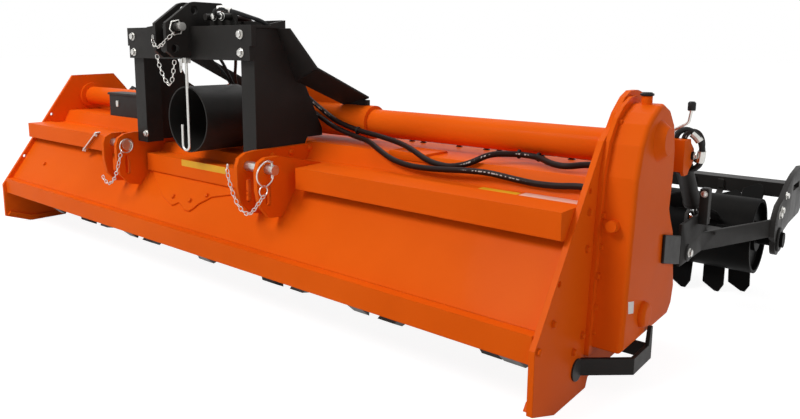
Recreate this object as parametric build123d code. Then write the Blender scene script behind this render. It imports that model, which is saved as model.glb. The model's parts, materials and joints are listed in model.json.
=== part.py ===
from build123d import *
import math
import os

os.makedirs("parts", exist_ok=True)

# Tractor-mounted stone burier, millimetres.
# X runs across the machine with the drive case at +X, the tractor side faces -Y, Z is up.
# The values below are measured from the tractor side; each piece moves back by SHIFT when it
# is written, which puts the origin on the ground under the middle of the machine.

# Side plates and hood
PLATE_IN = 1644
PLATE_OUT = PLATE_IN + 18
CASE_OUT = PLATE_OUT + 103
SHEET = 8
FRONT = -323
APRON_LOW = (-272, 261)
APRON_TOP = (-62, 555)
STEP_LOW = (40, 555)
STEP_TOP = (75, 622)
DECK_BACK = (372, 622)

# Drive line
AXIS_Y = 225
AXIS_Z = 702
TUBE_R = 53
COLLAR_R = 67

# Rotor
ROTOR_Y = 45
ROTOR_Z = 236
TIP_R = 228
ROWS = 13

# Rear roller and its frame
ROLLER_Y = 1150
ROLLER_Z = 262
ROLLER_HALF = PLATE_OUT + 208
DRUM_R = 178
PADDLE_R = 262
PIVOT_Y = 530
PIVOT_Z = ROLLER_Z + 58
END_X = ROLLER_HALF + 50
REAR = ROLLER_Y + 510

# Hitch
HITCH_X = 482
COLLAR_END = HITCH_X + 159
PIN_Y = -255
PIN_Z = 565
TOP_PIN_Y = -275
TOP_PIN_Z = 1074

# Cylinders that hold the roller frame
CYL_X = PLATE_OUT + 62
CYL_TOP = (556, 646)
CYL_LOW = (790, ROLLER_Z + 124)

SHIFT = (FRONT + REAR) / 2


def save(name, shape):
    export_step(Pos(0, -SHIFT, 0) * shape, "parts/" + name + ".step")


def box(x0, x1, y0, y1, z0, z1):
    return Pos((x0 + x1) / 2, (y0 + y1) / 2, (z0 + z1) / 2) * Box(x1 - x0, y1 - y0, z1 - z0)


def profile(points, x0, x1):
    # an outline drawn in Y and Z, carried across from x0 to x1
    plane = Plane(origin=(x0, 0, 0), x_dir=(0, 1, 0), z_dir=(1, 0, 0))
    face = make_face(Polyline(*points, close=True))
    return extrude(plane * face, amount=x1 - x0)


def rod_x(y, z, r, x0, x1):
    return Pos((x0 + x1) / 2, y, z) * Rot(0, 90, 0) * Cylinder(r, x1 - x0)


def rod_y(x, z, r, y0, y1):
    return Pos(x, (y0 + y1) / 2, z) * Rot(90, 0, 0) * Cylinder(r, y1 - y0)


def rod_z(x, y, r, z0, z1):
    return Pos(x, y, (z0 + z1) / 2) * Cylinder(r, z1 - z0)


def span(sign, near, far):
    # a pair of X values on the machine's left (-1) or right (+1), in rising order
    return sorted((sign * near, sign * far))


def strip(points, t):
    # a folded sheet's outline: the given side, and the same side moved in by t
    inner = []
    n = len(points)
    for i in range(n):
        dirs = []
        if i > 0:
            dirs.append((points[i][0] - points[i - 1][0], points[i][1] - points[i - 1][1]))
        if i < n - 1:
            dirs.append((points[i + 1][0] - points[i][0], points[i + 1][1] - points[i][1]))
        norms = [(dy / math.hypot(dx, dy), -dx / math.hypot(dx, dy)) for dx, dy in dirs]
        if len(norms) == 1:
            mx, my = norms[0]
            k = t
        else:
            mx, my = norms[0][0] + norms[1][0], norms[0][1] + norms[1][1]
            size = math.hypot(mx, my)
            mx, my = mx / size, my / size
            k = t / (mx * norms[0][0] + my * norms[0][1])
        inner.append((points[i][0] + k * mx, points[i][1] + k * my))
    return list(points) + inner[::-1]


def plate_between(corners, t):
    # a flat plate of thickness t on a row of corners in space, centred on their plane
    a, b, c = (Vector(*p) for p in corners[:3])
    across = (b - a).cross(c - a).normalized()
    flat = Plane(origin=a, x_dir=(b - a).normalized(), z_dir=across)
    local = [flat.to_local_coords(Vector(*p)) for p in corners]
    face = make_face(Polyline(*[(p.X, p.Y) for p in local], close=True))
    return extrude(flat * face, amount=t / 2, both=True)


# Side plates: one outline, with the driven side's rounded top over the tube's end
plate_front = [(-195, 0), (8, 0), (22, 30), (470, 30), (590, 180), (590, 520), (440, 745)]
plate_back = [(FRONT, 228), (FRONT, 47)]
tops = {"left": [(365, 832), (109, 826)],
        "right": [(402, 820), (352, 860), (292, 873), (237, 873), (190, 856), (132, 813),
                  (99, 773), (45, 737)]}
for side, sign in (("left", -1), ("right", 1)):
    x0, x1 = span(sign, PLATE_IN, PLATE_OUT)
    plate = profile(plate_front + tops[side] + plate_back, x0, x1)
    for y, z, r in ((-29, 604, 9), (-198, 377, 9), (ROTOR_Y, ROTOR_Z, 30.05),
                    (PIVOT_Y, PIVOT_Z, 30.05)):
        plate -= rod_x(y, z, r, x0 - 1, x1 + 1)
    if side == "right":
        plate -= rod_x(AXIS_Y, AXIS_Z, 40, x0 - 1, x1 + 1)
    save("side_plate_" + side, plate)
    # wear bar welded inside the plate's foot, set back from its outline
    a, b = span(sign, PLATE_IN - 14, PLATE_IN)
    sole = profile([(-190, 2), (4, 2), (16, 30), (-184, 30), (-300, 72), (-316, 52)], a, b)
    save("skid_" + side, sole)

# Hood: one folded sheet from the front beam up, over the rotor, to the rear
hood_path = [APRON_LOW, APRON_TOP, STEP_LOW, STEP_TOP, DECK_BACK, (372, 540)]
hood = profile(strip(hood_path, SHEET), -PLATE_IN, PLATE_IN)
hood -= box(-PLATE_IN - 1, PLATE_IN + 1, -320, -200, 150, 261)
save("hood", hood)
# what lies under the hood's outer face; pieces that stand on the hood are trimmed with it
under_hood = profile([APRON_LOW, APRON_TOP, STEP_LOW, STEP_TOP, DECK_BACK, (372, 0), (-272, 0)],
                     -PLATE_IN - 60, PLATE_IN + 60)

# Doubling plate with a scalloped foot, bolted on the apron between the hitch ears
slope = math.hypot(APRON_TOP[0] - APRON_LOW[0], APRON_TOP[1] - APRON_LOW[1])
up = ((APRON_TOP[0] - APRON_LOW[0]) / slope, (APRON_TOP[1] - APRON_LOW[1]) / slope)
apron = Plane(origin=(0, APRON_LOW[0], APRON_LOW[1]), x_dir=(1, 0, 0), z_dir=(0, -up[1], up[0]))
half = HITCH_X - 78
foot = [(-half, 232), (-half, 40)]
for k in (-0.75, -0.25, 0.25, 0.75):
    foot += [(k * half - 62, 40), (k * half - 44, 72), (k * half + 44, 72), (k * half + 62, 40)]
foot += [(half, 40), (half, 232)]
doubler = extrude(apron * make_face(Polyline(*foot, close=True)), amount=8)
save("apron_doubler", doubler)

# Stiffening ledge along the front of the hood, lower between the hitch ears
lip = [(-40, 563), (-165, 563), (-165, 485), (-150, 480)]
ledge = None
for x0, x1, drop in ((-PLATE_IN, -HITCH_X - 113, 0), (-HITCH_X + 82, HITCH_X - 82, 45),
                     (HITCH_X + 113, PLATE_IN, 0)):
    path = [(y, z - drop) for y, z in lip]
    if drop:
        path[0] = (-70, 563 - drop)
    piece = profile(strip(path, -6), x0, x1)
    end = [(-159, 557 - drop), (-159, 488 - drop), (-120, 470 - drop), (-30, 557 - drop)]
    for a in (x0, x1 - 8):
        piece += profile(end, a, a + 8)
    piece -= under_hood
    if drop:
        piece -= doubler
    ledge = piece if ledge is None else ledge + piece
save("ledge", ledge)

# Front beam: rectangular tube between the side plates
front_beam = box(-PLATE_IN, PLATE_IN, -308, -258, 181, 261)
front_beam -= box(-PLATE_IN - 1, PLATE_IN + 1, -302, -264, 187, 255)
save("front_beam", front_beam)

# Rear beam under the hood's back edge
rear_beam = box(-PLATE_IN, PLATE_IN, 284, 364, 534, 614)
rear_beam -= box(-PLATE_IN - 1, PLATE_IN + 1, 291, 357, 541, 607)
save("rear_beam", rear_beam)

# Black clamping strip on the hood's back face
save("rear_strip", box(-PLATE_IN + 44, PLATE_IN - 44, 372, 380, 552, 612))

# Gearbox in the middle, on two feet
gearbox = box(-150, 150, 104, 326, 632, 800)
gearbox = fillet(gearbox.edges().filter_by(Axis.Y), 34)
gearbox += rod_y(0, AXIS_Z, 76, 36, 110)
gearbox += Pos(0, AXIS_Y, 806) * Cylinder(70, 24)
for sign in (-1, 1):
    a, b = span(sign, 145, 172)
    gearbox += rod_x(AXIS_Y, AXIS_Z, 76, a, b)
for x in (-100, 100):
    for y in (140, 290):
        gearbox += box(x - 30, x + 30, y - 26, y + 26, 622, 640)
gearbox -= rod_y(0, AXIS_Z, 22.05, 30, 130)
save("gearbox", gearbox)

# Drive tube to the driven side and the plain tube that braces the other side, each with a
# stiffener plate that slopes down from the gearbox to the collar's end
for name, sign in (("drive_tube", 1), ("stay_tube", -1)):
    tube = rod_x(AXIS_Y, AXIS_Z, COLLAR_R, *span(sign, 172, COLLAR_END))
    tube += rod_x(AXIS_Y, AXIS_Z, TUBE_R, *span(sign, COLLAR_END, PLATE_IN - 16))
    tube += rod_x(AXIS_Y, AXIS_Z, 78, *span(sign, PLATE_IN - 16, PLATE_IN))
    tube += rod_x(AXIS_Y, AXIS_Z, 76, *span(sign, 172, 190))
    fin = [(sign * 180, 850), (sign * 200, 850), (sign * (HITCH_X + 3), 766), (sign * (HITCH_X + 3), 740),
           (sign * 180, 740)]
    fin_plane = Plane(origin=(0, AXIS_Y + 6, 0), x_dir=(1, 0, 0), z_dir=(0, -1, 0))
    tube += extrude(fin_plane * make_face(Polyline(*fin, close=True)), amount=12)
    tube -= rod_x(AXIS_Y, AXIS_Z, 45, -PLATE_IN - 50, PLATE_IN + 50)
    save(name, tube)

# Input shaft with a locking groove, and the guard tube round it
pto = rod_y(0, AXIS_Z, 22, -62, 130)
pto -= rod_y(0, AXIS_Z, 30, -40, -32) - rod_y(0, AXIS_Z, 18, -41, -31)
for i in range(6):
    pto -= Pos(0, 0, AXIS_Z) * Rot(0, i * 60, 0) * box(-3, 3, -63, 0, 19, 24)
save("pto_shaft", pto)
guard = rod_y(0, AXIS_Z, 136, -212, 36) - rod_y(0, AXIS_Z, 130, -213, 28)
guard -= rod_y(0, AXIS_Z, 60, 20, 40)
save("pto_guard", guard)

# Three-point tower: box post and gusset on each side, with the crossbar and its top plate
gusset = [(-195, 575), (30, 575), (66, 640), (150, 640), (150, 668), (-50, 1067), (-195, 1067)]
for side, sign in (("left", -1), ("right", 1)):
    a, b = span(sign, HITCH_X - 144, HITCH_X - 84)
    post = box(a, b, -195, -115, 575, 1067)
    post -= box(a + 7, b - 7, -188, -122, 574, 1068)
    post += profile(gusset, *span(sign, HITCH_X - 84, HITCH_X - 66))
    save("tower_" + side, post)
bar = HITCH_X - 67
crossbar = box(-bar, bar, -215, -195, 947, 1077) + box(-bar, bar, -215, -50, 1067, 1077)
crossbar += box(-bar, bar, -60, -50, 1077, 1098)
for sign in (-1, 1):
    a, b = span(sign, bar, bar + 12)
    crossbar += profile([(-215, 1077), (-215, 1000), (-195, 1000), (-195, 1067), (-50, 1067), (-50, 1098),
                         (-120, 1084), (-120, 1077)], a, b)
save("tower_crossbar", crossbar)

# Top link clevis: two plates over the crossbar, with spare holes
clevis_line = [(-215, 955), (-290, 955), (-322, 980), (-322, 1088), (-212, 1168), (-190, 1174),
               (-60, 1174), (-30, 1150), (-30, 1077), (-50, 1077), (-50, 1098), (-60, 1098), (-60, 1077),
               (-215, 1077)]
clevis = None
for x0, x1 in ((-46, -28), (28, 46)):
    plate = profile(clevis_line, x0, x1)
    for y, z, r in ((TOP_PIN_Y, TOP_PIN_Z, 16.05), (-284, 990, 17), (-191, 1142, 17),
                    (-66, 1146, 17)):
        plate -= rod_x(y, z, r, x0 - 1, x1 + 1)
    clevis = plate if clevis is None else clevis + plate
save("top_link_clevis", clevis)
top_pin = rod_x(TOP_PIN_Y, TOP_PIN_Z, 16, -56, 88) + rod_x(TOP_PIN_Y, TOP_PIN_Z, 22, -64, -56)
top_pin -= rod_z(76, TOP_PIN_Y, 5, 1050, 1100)
save("top_link_pin", top_pin)

# Rear stays: a flange along each gusset's back edge, folded where it splays to the tube's collar
for side, sign in (("left", -1), ("right", 1)):
    edge, fold, foot_in, foot_out = HITCH_X - 64, HITCH_X + 68, HITCH_X + 3, HITCH_X + 126
    upper = [(edge, -86, 1073), (edge + 52, -90, 1090), (fold, -4, 920), (edge, 10, 869)]
    lower = [(edge, 10, 869), (fold, -4, 920), (foot_out, 225, 800), (foot_in, 225, 766)]
    stay = None
    for sheet in (upper, lower):
        plate = plate_between([(sign * x, y, z) for x, y, z in sheet], 8)
        stay = plate if stay is None else stay + plate
    stay += box(*span(sign, foot_in, foot_out), 215, 231, 745, 790)
    stay -= rod_x(AXIS_Y, AXIS_Z, COLLAR_R, -COLLAR_END, COLLAR_END)
    stay -= box(-edge + 2, edge - 2, -400, 400, 500, 1200)
    stay -= box(*span(sign, edge - 2, edge + 300), -400, 400, 1067, 1200)
    save("tower_stay_" + side, stay)

# Lower hitch ears, a pair on each side, and their pins
inner_ear = [(-190, 372), (-250, 385), (-290, 430), (-303, 490), (-303, 565), (-292, 595),
             (-262, 612), (-220, 616), (150, 616), (150, 372)]
outer_ear = [(-185, 378), (-250, 385), (-290, 430), (-303, 490), (-303, 565), (-292, 592),
             (-262, 606), (-200, 606), (12, 558), (12, 378)]
for side, sign in (("left", -1), ("right", 1)):
    ears = None
    for line, near, far in ((inner_ear, -66, -46), (outer_ear, 46, 66)):
        a, b = span(sign, HITCH_X + near, HITCH_X + far)
        ear = profile(line, a, b)
        ear -= rod_x(PIN_Y, PIN_Z, 18.35, a - 1, b + 1)
        ear -= box(a - 1, b + 1, -264, -242, 440, 505)
        ear -= rod_x(-253, 505, 11, a - 1, b + 1)
        ear -= rod_x(-253, 440, 11, a - 1, b + 1)
        ear -= under_hood
        ears = ear if ears is None else ears + ear
    save("lower_clevis_" + side, ears)
    pin = rod_x(PIN_Y, PIN_Z, 18.3, *span(sign, HITCH_X - 74, HITCH_X + 108))
    pin -= rod_z(sign * (HITCH_X + 90), PIN_Y, 5.5, 540, 590)
    pin += rod_x(PIN_Y, PIN_Z, 26, *span(sign, HITCH_X - 82, HITCH_X - 74))
    save("lower_pin_" + side, pin)

# Toolbox on the hood beside the tower
toolbox = fillet(box(-1180, -815, 80, 166, 622, 736).edges().filter_by(Axis.Z), 10)
toolbox += fillet(box(-1186, -809, 76, 168, 736, 748).edges().filter_by(Axis.Z), 10)
save("toolbox", toolbox)

# Holding hook for the input shaft, hung under the crossbar
hook = rod_z(32, -228, 6, 600, 940) + box(20, 44, -238, -215, 932, 953)
arc = Pos(10, -228, 600) * Rot(90, 0, 0) * Torus(22, 6)
arc -= box(-60, 90, -260, -190, 600, 660)
hook += arc + rod_z(-12, -228, 6, 600, 626)
save("shaft_hook", hook)

# Hose holder with parked couplings on the top plate
holder = box(90, 260, -150, -144, 1077, 1131) + box(90, 260, -150, -110, 1077, 1083)
for x in (125, 175, 225):
    holder += rod_y(x, 1112, 13, -196, -150) + rod_y(x, 1112, 9, -144, -120)
save("hose_holder", holder)

# Two hydraulic hoses from the parked couplings down behind the crossbar, past the gusset and
# along the drive tube, hanging over the hood's step between their ties, to the driven plate
HOSE_R = 10
hoses = {
    "hose_upper": [(175, -120, 1112), (175, -82, 1112), (178, -46, 1110), (186, -14, 1093), (196, 10, 1058),
                   (210, 36, 1000),
                   (228, 62, 938), (252, 98, 878), (HITCH_X - 174, 140, 815), (HITCH_X - 120, 153, 772),
                   (HITCH_X - 62, 151, 743), (HITCH_X + 23, 143, 704), (HITCH_X + 142, 142, 676),
                   (749, 138, 663), (851, 122, 650), (942, 72, 643), (1041, 50, 609), (1130, 45, 601),
                   (1205, 50, 620), (1262, 86, 655), (1330, 158, 653), (1400, 162, 650),
                   (1462, 118, 642), (1520, 100, 640), (PLATE_IN - 60, 136, 650), (PLATE_IN, 136, 650)],
    "hose_lower": [(125, -120, 1112), (125, -82, 1112), (127, -46, 1110), (133, -14, 1093), (142, 10, 1058),
                   (153, 36, 998),
                   (168, 60, 935), (192, 86, 868), (226, 112, 808), (HITCH_X - 188, 132, 762),
                   (HITCH_X - 115, 142, 738), (HITCH_X - 40, 135, 707), (HITCH_X + 40, 118, 682),
                   (HITCH_X + 130, 124, 657), (720, 96, 648), (795, 58, 632), (880, 38, 602),
                   (975, 26, 589), (1090, 20, 592), (1200, 20, 602), (1290, 30, 604), (1370, 38, 594),
                   (1450, 40, 587), (1530, 38, 590), (PLATE_IN - 56, 40, 598), (PLATE_IN, 40, 598)]}
for name, route in hoses.items():
    points = [Vector(*p) for p in route]
    radii = []
    for a, b, c in zip(points, points[1:], points[2:]):
        turn = math.radians((b - a).get_angle(c - b))
        radii.append(0.45 * min((b - a).length, (c - b).length) / math.tan(turn / 2))
    path = FilletPolyline(*points, radius=radii)
    section = Plane(origin=path @ 0, z_dir=path % 0) * Circle(HOSE_R)
    hose = sweep(section, path=path)
    print(name, "radii", [round(r) for r in radii], "least", round(min(radii)),
          "volume over section times length", round(hose.volume / (math.pi * HOSE_R ** 2 * path.length), 4))
    save(name, hose)

# Drive case: a deep narrow housing on the outside of the driven plate
case_line = [(4, 136), (46, 637), (76, 728), (117, 785), (161, 814), (208, 835), (243, 838),
             (296, 818), (343, 770), (364, 690), (366, 617), (352, 504), (372, 468), (405, 421),
             (450, 226), (435, 166), (400, 136)]
case = profile(case_line, PLATE_OUT, CASE_OUT)
case = fillet([e for e in case.edges() if e.center().X > CASE_OUT - 1], 14)
flange_line = [(-16, 112), (24, 640), (56, 738), (104, 800), (150, 832), (206, 856), (246, 858),
               (308, 836), (362, 780), (388, 690), (388, 617), (376, 510), (396, 476), (428, 428),
               (472, 226), (456, 150), (410, 112)]
case += profile(flange_line, PLATE_OUT, PLATE_OUT + 14)
out = (Align.CENTER, Align.CENTER, Align.MIN)
case += Pos(CASE_OUT, 216, 730) * Rot(0, 90, 0) * Cone(62, 40, 26, align=out)
dome = rod_x(157, 212, 40, CASE_OUT, CASE_OUT + 18)
case += fillet([e for e in dome.edges() if e.center().X > CASE_OUT + 17], 15)
case += Pos(PLATE_OUT + 49, 24, 500) * Rot(84, 0, 0) * Cylinder(17, 34)
case -= rod_x(ROTOR_Y, ROTOR_Z, 30.05, PLATE_OUT - 1, PLATE_OUT + 14)
save("chain_case", case)
cap = rod_z(PLATE_OUT + 52, 225, 12, 836, 862) + rod_z(PLATE_OUT + 52, 225, 20, 862, 880)
cap -= case
save("filler_cap", cap)

# Black guard bar under the case: a leg out from the plate, a run along the case, a raised end
GUARD_X = CASE_OUT + 19
guard_leg = make_face(Polyline((PLATE_OUT, -48), (GUARD_X, 60), (GUARD_X, 205), (GUARD_X - 12, 205),
                               (GUARD_X - 12, 66), (PLATE_OUT, -32), close=True))
case_guard = extrude(Plane.XY.offset(60) * guard_leg, amount=50)
case_guard += profile([(168, 60), (205, 60), (205, 164), (190, 164)], GUARD_X - 12, GUARD_X)
case_guard += box(PLATE_OUT, GUARD_X - 12, 186, 198, 62, 108)
case_guard += rod_x(-64, 84, 33, PLATE_OUT, PLATE_OUT + 5)
save("case_guard", case_guard)

# Rod grate behind the rotor, hung from the rear beam
GRATE = PLATE_IN - 44
grate = box(-GRATE, GRATE, 300, 330, 516, 534)
for i in range(41):
    x = (i - 20) / 20 * (GRATE - 40)
    grate += box(x - 7, x + 7, 308, 322, 150, 516)
grate += box(-GRATE, GRATE, 322, 334, 200, 216)
save("rod_grate", grate)

# Bearing housings of the rotor, inside the plates
for side, sign in (("left", -1), ("right", 1)):
    a, b = span(sign, PLATE_IN - 34, PLATE_IN)
    housing = rod_x(ROTOR_Y, ROTOR_Z, 84, a, b) - rod_x(ROTOR_Y, ROTOR_Z, 30.05, a - 1, b + 1)
    save("rotor_bearing_" + side, housing)

# Rotor: shaft with flanges, then the bent hoe blades bolted on them
ROW_PITCH = (PLATE_IN - 96) / (ROWS - 1) * 2
shaft = rod_x(ROTOR_Y, ROTOR_Z, 30, -PLATE_OUT - 13, PLATE_OUT + 13)
shaft += rod_x(ROTOR_Y, ROTOR_Z, 58, -PLATE_IN + 48, PLATE_IN - 48)
for i in range(ROWS):
    x = (i - (ROWS - 1) / 2) * ROW_PITCH
    shaft += rod_x(ROTOR_Y, ROTOR_Z, 122, x - 8, x + 8)
save("rotor_shaft", shaft)


def hoe(sign):
    # L-shaped blade: a shank on the flange's face, bent to a toe that points along the shaft
    path = [(8, 84), (20, 84), (20, TIP_R - 36), (42, TIP_R - 14), (104, TIP_R - 14), (110, TIP_R - 2),
            (36, TIP_R - 2), (8, TIP_R - 30)]
    side_view = make_face(Polyline(*[(sign * x, z) for x, z in path], close=True))
    blade = extrude(Plane.XZ * side_view, amount=27, both=True)
    # the cutting edge is ground thin on the side that meets the soil
    grind = Pos(sign * 60, -40, TIP_R - 26) * Rot(32, 0, 0) * Box(120, 30, 26)
    return blade - grind


blades = []
for i in range(ROWS):
    x = (i - (ROWS - 1) / 2) * ROW_PITCH
    for k in range(4):
        turn = 152.6 + (i % 3 - 1) * 14 + k * 90
        # the end rows' toes all point away from the side plates
        sign = {0: 1, ROWS - 1: -1}.get(i, 1 if (k + i) % 2 else -1)
        blades.append(Pos(x, ROTOR_Y, ROTOR_Z) * Rot(turn, 0, 0) * hoe(sign))
save("rotor_blades", Compound(children=[b.solid() for b in blades]))

# Roller frame: splayed arms with a cheek plate by each cylinder, slotted end plates, and the
# angle beam across the back with its ribs and scrapers
ARM_X = PLATE_OUT + 50
ARM_LOW = ROLLER_Z + 26
ARM_TOP = ROLLER_Z + 92
kink = (ROLLER_HALF + 6, ROLLER_Y - DRUM_R)
arm_line = [(ARM_X, PIVOT_Y - 52), (ARM_X, PIVOT_Y + 45), kink, (END_X, ROLLER_Y - 70), (END_X, ROLLER_Y - 40),
            (END_X + 13, ROLLER_Y - 40), (END_X + 13, ROLLER_Y - 70), (kink[0] + 13, kink[1] - 2),
            (ARM_X + 13, PIVOT_Y + 43), (ARM_X + 13, PIVOT_Y - 52)]
# end plate in Y and Z from the roller's axis
end_line = [(-92, 26), (-92, 92), (-41, 140), (50, 163), (142, 206), (230, 228), (360, 245), (450, 236),
            (510, 180), (510, 84), (403, 34), (290, 32), (188, 30), (60, 14), (40, -40), (-40, -40), (-62, 0)]
# cheek plate in Y and Z from the pivot
cheek_line = [(-76, -32), (-76, 190), (-40, 262), (4, 270), (118, 190), (220, 34), (190, -32)]
for side, sign in (("left", -1), ("right", 1)):
    arm_plan = make_face(Polyline(*[(sign * x, y) for x, y in arm_line], close=True))
    arm = extrude(Plane.XY.offset(ARM_LOW) * arm_plan, amount=ARM_TOP - ARM_LOW)
    end_plate = profile([(ROLLER_Y + y, ROLLER_Z + z) for y, z in end_line], *span(sign, END_X, END_X + 20))
    end_plate += rod_x(ROLLER_Y, ROLLER_Z, 62, *span(sign, END_X, END_X + 20))
    end_plate -= box(*span(sign, END_X - 1, END_X + 21), ROLLER_Y + 222, ROLLER_Y + 352,
                     ROLLER_Z + 158, ROLLER_Z + 184)
    arm += end_plate
    arm += rod_x(PIVOT_Y, PIVOT_Z, 48, *span(sign, PLATE_OUT + 0.5, ARM_X + 13))
    arm += profile([(PIVOT_Y + y, PIVOT_Z + z) for y, z in cheek_line], *span(sign, ARM_X + 54, ARM_X + 64))
    arm += rod_x(PIVOT_Y, PIVOT_Z, 30, *span(sign, PLATE_IN - 14, ARM_X + 70))
    # lug for the cylinder's rod, on a cross plate from the arm
    low_y, low_z = CYL_LOW
    arm += box(*span(sign, CYL_X - 44, ARM_X + 0.412 * (low_y - PIVOT_Y - 45) + 6), low_y - 42, low_y + 38,
               ARM_TOP - 14, ARM_TOP - 2)
    for near, far in ((19, 31), (-31, -19)):
        arm += profile([(low_y - 38, ARM_TOP - 4), (low_y + 36, ARM_TOP - 4), (low_y + 26, low_z + 14),
                        (low_y, low_z + 26), (low_y - 26, low_z + 14)], *span(sign, CYL_X + near, CYL_X + far))
    arm += rod_x(low_y, low_z, 12, *span(sign, CYL_X - 37, CYL_X + 37))
    arm -= rod_x(ROLLER_Y, ROLLER_Z, 30.05, *span(sign, END_X - 1, END_X + 21))
    save("roller_arm_" + side, arm)

# tooth rows along the drum, evenly spaced, with the ribs and scrapers midway between them
TOOTH_HALF = 41
LAST_ROW = PLATE_OUT + 54
GAPS = 2 * round(LAST_ROW / 118.3 - 0.5) + 1
TOOTH_PITCH = 2 * LAST_ROW / GAPS
SCRAPER_HALF = TOOTH_PITCH / 2 - TOOTH_HALF - 6
beam = box(-END_X, END_X, ROLLER_Y + 250, ROLLER_Y + 260, ROLLER_Z + 120, ROLLER_Z + 181)
beam += box(-END_X, END_X, ROLLER_Y + 250, ROLLER_Y + 335, ROLLER_Z + 171, ROLLER_Z + 181)
reach = math.degrees(math.atan2(248, 128))
for i in range(GAPS):
    x = (i - (GAPS - 1) / 2) * TOOTH_PITCH
    rib = [(ROLLER_Y + 250, ROLLER_Z + 122), (ROLLER_Y + 250, ROLLER_Z + 171), (ROLLER_Y + 236, ROLLER_Z + 171),
           (ROLLER_Y + 236, ROLLER_Z + 134)]
    beam += profile(rib, x - SCRAPER_HALF, x + SCRAPER_HALF)
    scraper = box(-SCRAPER_HALF, SCRAPER_HALF, -4, 4, DRUM_R + 6, 284)
    beam += Pos(x, ROLLER_Y, ROLLER_Z) * Rot(-reach, 0, 0) * scraper
save("scraper_beam", beam)

# Roller: a closed drum with stub shafts and rows of pointed teeth set in a helix
drum = rod_x(ROLLER_Y, ROLLER_Z, DRUM_R, -ROLLER_HALF, ROLLER_HALF)
drum -= rod_x(ROLLER_Y, ROLLER_Z, DRUM_R - 10, -ROLLER_HALF + 20, ROLLER_HALF - 20)
for sign in (-1, 1):
    drum += rod_x(ROLLER_Y, ROLLER_Z, 30, *span(sign, ROLLER_HALF, END_X + 40))
tooth = make_face(Polyline((-TOOTH_HALF, DRUM_R - 6), (TOOTH_HALF, DRUM_R - 6), (TOOTH_HALF, 226),
                           (24, PADDLE_R), (8, PADDLE_R), (-TOOTH_HALF, 230), close=True))
tooth = extrude(Plane.XZ * tooth, amount=5, both=True)
rows = [(i - GAPS / 2) * TOOTH_PITCH for i in range(GAPS + 1)]
rows = [-ROLLER_HALF + 66] + rows + [ROLLER_HALF - 66]
teeth = []
for i, x in enumerate(rows):
    for k in range(5):
        # the last full row on the driven side has a tooth straight down at rest
        turn = 180 + (i - len(rows) + 2) * 12 + k * 72
        teeth.append(Pos(x, ROLLER_Y, ROLLER_Z) * Rot(turn, 0, 0) * tooth)
save("roller", drum.fuse(*teeth))

# Cylinders: a box bracket on the side plate's back edge, barrel and rod
low = Vector(0, CYL_LOW[0], CYL_LOW[1])
top = Vector(0, CYL_TOP[0], CYL_TOP[1])
run = low - top
angle = math.degrees(math.atan2(run.Y, -run.Z))
ear_line = [(470, 600), (486, 586), (522, 586), (534, 600), (576, 622), (582, 646), (574, 668), (540, 690),
            (532, 705), (470, 705)]
for side, sign in (("left", -1), ("right", 1)):
    near, far = CYL_X - 36, CYL_X + 36
    bracket = box(*span(sign, PLATE_OUT, far), 470, 482, 600, 705)
    bracket += box(*span(sign, PLATE_OUT, far), 470, 532, 695, 705)
    for a, b in ((near, near + 10), (far - 10, far)):
        ear = profile(ear_line, *span(sign, a, b))
        ear -= rod_x(CYL_TOP[0], CYL_TOP[1], 14.05, *span(sign, a - 1, b + 1))
        bracket += ear
    save("cylinder_bracket_" + side, bracket)
    place = Pos(sign * CYL_X, CYL_TOP[0], CYL_TOP[1]) * Rot(angle, 0, 0)
    barrel = rod_z(0, 0, 23, -run.length + 92, -18) + rod_x(0, 0, 28, -18, 18)
    barrel -= rod_z(0, 0, 14.05, -run.length + 91, -50)
    barrel += rod_x(0, 0, 14, -44, 44)
    save("cylinder_barrel_" + side, place * barrel)
    rod = rod_z(0, 0, 14, -run.length + 18, -130) + rod_x(0, -run.length, 22, -16, 16)
    rod -= rod_x(0, -run.length, 14.5, -17, 17)
    save("cylinder_rod_" + side, place * rod)

# Ball-ended lever of the lift valve, on the driven side's bracket
lever_path = FilletPolyline((CYL_X - 12, 500, 705), (CYL_X - 12, 500, 734), (CYL_X + 34, 500, 762),
                            (CYL_X + 40, 500, 802), radius=14)
lever = sweep(Plane(origin=lever_path @ 0, z_dir=lever_path % 0) * Circle(5), path=lever_path)
lever += Pos(CYL_X + 40, 500, 800) * Cylinder(11, 28, align=(Align.CENTER, Align.CENTER, Align.MIN))
save("valve_lever", lever)
print("done")
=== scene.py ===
import json
import math

import bpy
from mathutils import Matrix, Vector

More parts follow.
